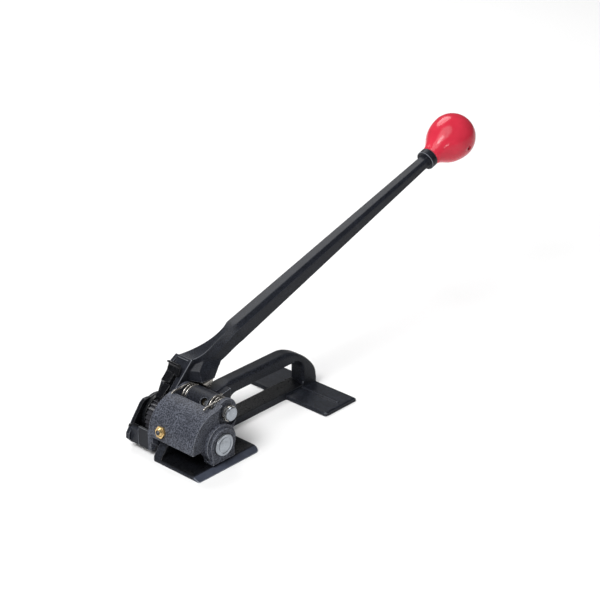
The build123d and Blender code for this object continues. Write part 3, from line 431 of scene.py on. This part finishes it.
# where each finish is greasy, has painted shade or has painted light: boxes of two corners, in mm
WHEEL_GREASE_AND_SHADE = ((-42, -30, 3.2), (46, 19, 16))
RAIL_SHADOW = ((60.5, 18.9, 8.5), (179, None, 16))
BASE_BEVEL = ((-60, None, None), (60, -32.5, 6))
HOOD_SHADED_END = ((None, 42, None), (None, None, None))
PLATE_GREASE = ((-37, 50, None), (None, 70, None))
SHAFT_GREASE_RADIUS = 33


def frame_grease_and_shade(n):
    """Grease and painted shade on the base below the feedwheel, and the grip's painted shadow along the
    rail's top, drawn with grease's gloss and crumbs.
    """
    return n.math("MAXIMUM", n.region(WHEEL_GREASE_AND_SHADE, soft=1.5), n.region(RAIL_SHADOW, soft=1.2))


def lit_base_bevel(n):
    """Painted light on the base plate's thin, bevelled side."""
    return n.region(BASE_BEVEL, soft=0.8)


def hood_shaded_end(n):
    """Painted shade on the end of the hood beside the side plate."""
    return n.math("MULTIPLY", n.region(HOOD_SHADED_END, soft=0.5), HOOD_SHADE_SHARE)


def fork_grease(n):
    """Grease on the lever's fork, around the main shaft."""
    return n.near_axis(SHAFT_AXIS, SHAFT_GREASE_RADIUS, soft=4.0)


def plate_grease(n):
    """Grease on the side plate's inner side and edges."""
    return n.region(PLATE_GREASE, soft=1.0)


# painted light and shade: the frame's grease mask also lays painted shade and shadow, the base's bevel gets
# painted light, the hood's far end gets painted shade
CAST = black_metal("black_casting", BLACK_LOW, BLACK_HIGH, EDGE, grain=700, grain_depth=0.08,
                   gloss=(0.42, 0.62), grease_and_shade=frame_grease_and_shade, painted_light=lit_base_bevel)
DRUM = black_metal("hood_casting", HOOD_LOW, HOOD_HIGH, HOOD_EDGE, grain=640, grain_depth=0.14,
                   gloss=(0.40, 0.58), painted_shade=hood_shaded_end)
FORGED = black_metal("black_forging", BLACK_LOW, BLACK_HIGH, EDGE, grain=1100, grain_depth=0.04,
                     gloss=(0.36, 0.52), grease_and_shade=fork_grease)
PLATE = black_metal("plate_forging", BLACK_LOW, BLACK_HIGH, EDGE, grain=1100, grain_depth=0.04,
                    gloss=(0.36, 0.52), grease_and_shade=plate_grease)
GREASY = greasy_metal("greasy_steel")
ZINC = bright_steel("zinc_plate", (0.36, 0.385, 0.42))
WIRE = bright_steel("spring_wire", (0.40, 0.38, 0.35), gloss=(0.16, 0.3))
OILED = bright_steel("oiled_steel", (0.07, 0.07, 0.075), gloss=(0.22, 0.45))
OILED_BRONZE = bright_steel("oiled_bronze", (0.05, 0.038, 0.02), gloss=(0.25, 0.45))
BRASS = brass_metal("brass")
RED = red_plastic("red_plastic")

for names, material in (
    (("gripper_plug", "plug_screws", "feedwheel", "feedwheel_key", "ratchet_key", "side_plate_screws",
      "ear_set_screw", "lift_shoe_screw", "knob_set_screw", "shaft_washer", "nipple_ball"), OILED),
    (("ratchet_wheel", "holding_pawl", "drive_pawl"), GREASY),
    (("main_shaft", "hinge_pin", "holding_pawl_pin", "drive_pawl_pin"), ZINC),
    (("hinge_pin_clips", "shaft_ring", "torsion_spring_near", "torsion_spring_far", "drive_pawl_spring",
      "holding_pawl_spring", "lift_shoe"), WIRE),
    (("hinge_bush", "shaft_bush_near", "shaft_bush_far", "side_plate_bush", "lever_bushes"), OILED_BRONZE),
    (("grease_nipple",), BRASS),
    (("knob",), RED),
    (("frame_casting",), CAST),
    (("housing",), DRUM),
    (("side_plate",), PLATE),
    (("lever",), FORGED),
):
    for node in names:
        mesh = frame["nodes"][node].data
        mesh.materials.clear()
        mesh.materials.append(material)

# ---------------------------------------------------------------- castings and forgings
for name, node, voxel, smoothing, body, slot, material in (
    ("frame_body", "frame_casting", 0.6, 5, "frame", "black_casting", CAST),
    ("housing_body", "housing", 0.5, 8, "carrier", "black_casting", DRUM),
    ("side_plate_body", "side_plate", 0.45, 4, "carrier", "black_forging", PLATE),
    ("lever_body", "lever", 0.6, 2, "lever", "black_forging", FORGED),
    ("drive_pawl_body", "drive_pawl", 0.35, 4, "drive_pawl", "black_forging", GREASY),
):
    new_piece(name, cast_from_cad(node, voxel, smoothing), body, material, node)

# ---------------------------------------------------------------- lift springs, in mm and degrees
COIL_RADIUS = 12.8
COIL_TURNS = 2.044
COIL_STEPS = 150
FRONT_ANGLE = 95.8          # where the coil leaves for its front leg
WIRE_RADIUS = 1.15
DRAWN_RADIUS = 1.05         # the wire as drawn, inside the CAD wire's space
WIRE_SIDES = 16
TIP_LENGTH = 4              # the end of the front leg that its bent tip takes up
TIP_BEND = ((2.2, 2.2), (1.6, 0.9), (0.6, 0.1))     # the bent tip's points: ahead, and down the drop
TIP_DROP = Vector((-0.80, 0, -0.60))
FRONT_SHARES = (0.0, 0.25, 0.5, 0.75)
REAR_SHARES = (0.3, 0.6, 1.0)


def spring_points(y_start, y_end, front_leg, rear_leg):
    """The line of a lift spring: leg on the hood, coil about the hinge pin, rear leg."""
    points = []
    start = math.radians(FRONT_ANGLE)
    for index in range(COIL_STEPS + 1):
        share = index / COIL_STEPS
        angle = start - 2 * math.pi * COIL_TURNS * share
        spoke = Vector((COIL_RADIUS * math.cos(angle), 0, COIL_RADIUS * math.sin(angle)))
        points.append(PIN_AXIS + spoke * MM)
        points[-1].y = y_start + (y_end - y_start) * share
    ahead = (points[0] - points[1]).normalized()
    ahead.y = 0
    tip = points[0] + ahead * (front_leg - TIP_LENGTH) * MM
    front = [tip + ahead * run * MM + TIP_DROP * fall * MM for run, fall in TIP_BEND]
    front += [tip.lerp(points[0], share) for share in FRONT_SHARES]
    behind = (points[-1] - points[-2]).normalized()
    rear = [points[-1] + behind * rear_leg * MM * share for share in REAR_SHARES]
    return front + points + rear


for name, inward, front_leg, rear_leg in (
    ("torsion_spring_near", 1, 26, 8),
    ("torsion_spring_far", -1, 23, 5),
):
    low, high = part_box(name)
    y_start = (low[1] if inward > 0 else high[1]) + inward * WIRE_RADIUS * MM
    y_end = (high[1] if inward > 0 else low[1]) - inward * WIRE_RADIUS * MM
    line = spring_points(y_start, y_end, front_leg, rear_leg)
    wire = tube(name + "_wire", line, DRAWN_RADIUS * MM, WIRE_SIDES)
    new_piece(name + "_wire", wire, "carrier", WIRE, name)

# ---------------------------------------------------------------- knob, in mm
KNOB_RADIUS = 28.2
# the knob's neck: (distance along the lever from the ball's centre, radius)
KNOB_NECK = [(-43.5, 0), (-43.5, 10.2), (-43.1, 11.0), (-42.2, 11.6), (-40, 12.2), (-37.5, 13.0),
             (-34.5, 14.5), (-31.5, 16.4), (-28, 18.8), (-24.5, 21.2), (-20.5, 23.5), (-16, 25.4),
             (-11, 26.9), (-5.5, 27.9)]
CROWN_STEPS = 24
HOLE_SETBACK = 3.3          # from the ball's centre, back along the lever
HOLE_DIP = math.radians(14)
# the set screw's hole with its flared mouth: (distance from the lever's line, radius)
HOLE = [(12, 0), (12, 2.42), (26.6, 2.42), (28.2, 3.3), (40, 3.3), (40, 0)]


def make_knob():
    """The pear-shaped knob, turned about the lever's line, with the set screw's hole in its side."""
    low, high = (Vector(corner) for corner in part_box("knob"))
    centre = Vector((high.x - KNOB_RADIUS * MM, (low.y + high.y) / 2, high.z - KNOB_RADIUS * MM))
    outline = list(KNOB_NECK)
    for index in range(CROWN_STEPS):
        angle = math.pi / 2 * index / CROWN_STEPS
        outline.append((KNOB_RADIUS * math.sin(angle), KNOB_RADIUS * math.cos(angle)))
    outline.append((KNOB_RADIUS, 0))
    ball = lathe("knob", outline, centre, LEVER_RUN, segments=128, sharp=40)
    body = bpy.data.objects.new("worker", ball)
    bpy.context.scene.collection.objects.link(body)
    spot = centre - LEVER_RUN * HOLE_SETBACK * MM
    hole_run = Vector((math.sin(LEVER_TILT) * math.sin(HOLE_DIP), -math.cos(HOLE_DIP),
                       -math.cos(LEVER_TILT) * math.sin(HOLE_DIP)))
    drill = lathe("drill", HOLE, spot, hole_run, segments=40)
    cutter = bpy.data.objects.new("cutter", drill)
    bpy.context.scene.collection.objects.link(cutter)
    cut = body.modifiers.new("cut", "BOOLEAN")
    cut.object = cutter
    cut.operation = "DIFFERENCE"
    result = applied(body)
    bpy.data.objects.remove(body)
    bpy.data.objects.remove(cutter)
    result.name = "knob_ball"
    new_piece("knob_ball", result, "lever", RED, "knob")


make_knob()

# ---------------------------------------------------------------- floor, light and camera, in metres
FLOOR_HALF = 6.0
FLOOR_GREY = 0.87
FLOOR_ROUGHNESS = 0.9
SKY_STRENGTH = 0.12
MIDDLE = Vector((0.15, 0, 0.08))        # what the lamps are aimed at
TOWARDS_LEVER = Vector((0.3, 0, 0.1))
OVERHEAD_ENERGY = 2.2
OVERHEAD_ANGLE = math.radians(50)
OVERHEAD_FROM = Vector((-0.6, -0.1, 1.0))
VIEW_AZIMUTH = math.radians(-47.3)
VIEW_ELEVATION = math.radians(25.3)
CAMERA_PLACE = (-1.1784, -1.2307, 0.9875)
CAMERA_LENS = 109.8
CAMERA_SENSOR = 36


def area_light(name, place, aim, size, power):
    light = bpy.data.lights.new(name, "AREA")
    light.shape = "DISK"
    light.size = size
    light.energy = power
    lamp = bpy.data.objects.new(name, light)
    bpy.context.scene.collection.objects.link(lamp)
    lamp.location = place
    lamp.rotation_euler = (aim - Vector(place)).to_track_quat("-Z", "Y").to_euler()


def overhead_light():
    """A broad, soft light from above and behind the grip."""
    light = bpy.data.lights.new("overhead", "SUN")
    light.energy = OVERHEAD_ENERGY
    light.angle = OVERHEAD_ANGLE
    lamp = bpy.data.objects.new("overhead", light)
    bpy.context.scene.collection.objects.link(lamp)
    lamp.rotation_euler = OVERHEAD_FROM.to_track_quat("Z", "Y").to_euler()


def make_floor():
    half = FLOOR_HALF
    corners = [(-half, -half, 0), (half, -half, 0), (half, half, 0), (-half, half, 0)]
    floor_mesh = bpy.data.meshes.new("floor")
    floor_mesh.from_pydata(corners, [], [(0, 1, 2, 3)])
    floor = bpy.data.objects.new("floor", floor_mesh)
    bpy.context.scene.collection.objects.link(floor)
    n = Nodes("pale_floor")
    n.shader.inputs["Base Color"].default_value = (FLOOR_GREY, FLOOR_GREY, FLOOR_GREY, 1)
    n.shader.inputs["Roughness"].default_value = FLOOR_ROUGHNESS
    floor_mesh.materials.append(n.material)
    floor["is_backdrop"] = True


def make_sky():
    world = bpy.data.worlds.new("studio")
    bpy.context.scene.world = world
    world.use_nodes = True
    background = world.node_tree.nodes["Background"]
    background.inputs["Color"].default_value = (1, 1, 1, 1)
    background.inputs["Strength"].default_value = SKY_STRENGTH


def make_camera():
    back = Vector((math.sin(VIEW_AZIMUTH) * math.cos(VIEW_ELEVATION),
                   -math.cos(VIEW_AZIMUTH) * math.cos(VIEW_ELEVATION), math.sin(VIEW_ELEVATION)))
    camera_data = bpy.data.cameras.new("camera")
    camera_data.lens = CAMERA_LENS
    camera_data.sensor_width = CAMERA_SENSOR
    camera = bpy.data.objects.new("camera", camera_data)
    bpy.context.scene.collection.objects.link(camera)
    camera.location = CAMERA_PLACE
    camera.rotation_euler = (-back).to_track_quat("-Z", "Y").to_euler()
    bpy.context.scene.camera = camera
    bpy.context.scene.view_settings.view_transform = "Standard"


make_floor()
make_sky()
overhead_light()
area_light("key", (-1.0, -0.1, 1.4), MIDDLE, size=0.6, power=13)
area_light("rear", (0.85, 1.4, 1.75), MIDDLE, size=1.3, power=24)
area_light("front", (-0.95, -1.65, 0.5), MIDDLE + TOWARDS_LEVER, size=0.4, power=3.4)
make_camera()

low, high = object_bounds()
